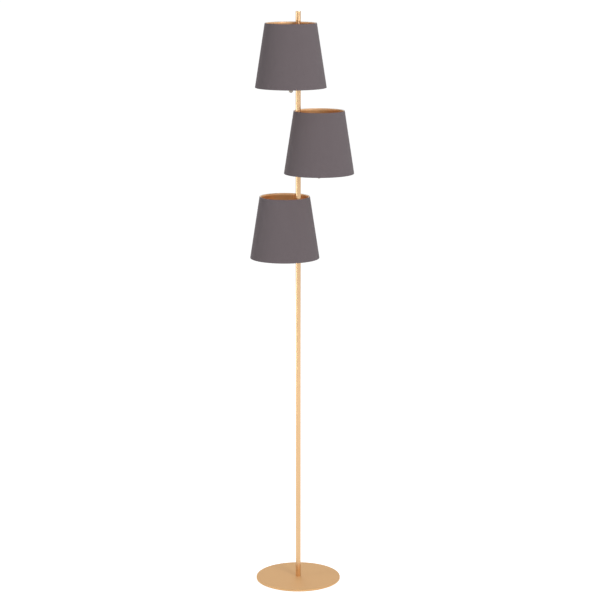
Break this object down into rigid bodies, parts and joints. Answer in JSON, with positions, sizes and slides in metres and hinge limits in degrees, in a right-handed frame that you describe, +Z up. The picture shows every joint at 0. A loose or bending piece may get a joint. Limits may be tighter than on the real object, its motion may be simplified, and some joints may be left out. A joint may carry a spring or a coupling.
{
  "type": "floor lamp",
  "caption": "Floor lamp: round flat foot, slim pole and three tapered fabric shades on short arms that swivel about the pole.",
  "frame": {"origin": "on the floor, at the centre of the foot and on the axis of the pole", "axes": "+Z up along the pole; -Y towards the viewer of the picture; +X to the right of that view"},
  "size_m": [0.3023, 0.307, 1.684],
  "materials": {
    "gold_lacquer": "satin",
    "zinc_steel": "satin",
    "felt": "matte",
    "clear_plastic": "satin",
    "lead_sheath": "satin",
    "nylon": "matte",
    "holder_plastic": "satin",
    "contact_ceramic": "satin",
    "white_wire": "satin",
    "taupe_fabric": "matte",
    "gold_lining": "satin",
    "lamp_cap_metal": "satin",
    "opal_glass": "satin"
  },
  "bodies": {
    "stand": {"base_felt": "felt", "base_plate": "gold_lacquer", "base_screw": "zinc_steel", "cable_bush": "clear_plastic", "foot_insert": "zinc_steel", "lower_link_tube": "gold_lacquer", "lower_tube": "gold_lacquer", "middle_tube": "gold_lacquer", "pole_lead": "lead_sheath", "stop_pins": "zinc_steel", "swivel_stems": "zinc_steel", "swivel_washers": "nylon", "top_cap": "gold_lacquer", "top_tube": "gold_lacquer", "tube_coupler": "zinc_steel", "tube_inserts": "gold_lacquer", "upper_link_tube": "gold_lacquer"},
    "top_head": {"arm_tube_1": "gold_lacquer", "contact_insert_1": "contact_ceramic", "head_lead_1": "lead_sheath", "holder_block_1": "gold_lacquer", "holder_body_1": "holder_plastic", "holder_shell_1": "holder_plastic", "lamp_cap_1": "lamp_cap_metal", "lamp_glass_1": "opal_glass", "shade_carrier_1": "white_wire", "shade_cover_1": "taupe_fabric", "shade_lining_1": "gold_lining", "shade_ring_nut_1": "holder_plastic", "swivel_hub_1": "gold_lacquer", "upper_ring_1": "white_wire"},
    "middle_head": {"arm_tube_2": "gold_lacquer", "contact_insert_2": "contact_ceramic", "head_lead_2": "lead_sheath", "holder_block_2": "gold_lacquer", "holder_body_2": "holder_plastic", "holder_shell_2": "holder_plastic", "lamp_cap_2": "lamp_cap_metal", "lamp_glass_2": "opal_glass", "shade_carrier_2": "white_wire", "shade_cover_2": "taupe_fabric", "shade_lining_2": "gold_lining", "shade_ring_nut_2": "holder_plastic", "swivel_hub_2": "gold_lacquer", "upper_ring_2": "white_wire"},
    "lower_head": {"arm_tube_3": "gold_lacquer", "contact_insert_3": "contact_ceramic", "head_lead_3": "lead_sheath", "holder_block_3": "gold_lacquer", "holder_body_3": "holder_plastic", "holder_shell_3": "holder_plastic", "lamp_cap_3": "lamp_cap_metal", "lamp_glass_3": "opal_glass", "shade_carrier_3": "white_wire", "shade_cover_3": "taupe_fabric", "shade_lining_3": "gold_lining", "shade_ring_nut_3": "holder_plastic", "swivel_hub_3": "gold_lacquer", "upper_ring_3": "white_wire"}
  },
  "joints": [
    {"name": "top_head_swivel", "type": "hinge", "parent": "stand", "child": "top_head", "pos_m": [0, 0, 1.483], "axis": [0, 0, 1], "range_deg": [-150, 150]},
    {"name": "middle_head_swivel", "type": "hinge", "parent": "stand", "child": "middle_head", "pos_m": [0, 0, 1.23], "axis": [0, 0, 1], "range_deg": [-150, 150]},
    {"name": "lower_head_swivel", "type": "hinge", "parent": "stand", "child": "lower_head", "pos_m": [0, 0, 0.977], "axis": [0, 0, 1], "range_deg": [-150, 150]}
  ]
}
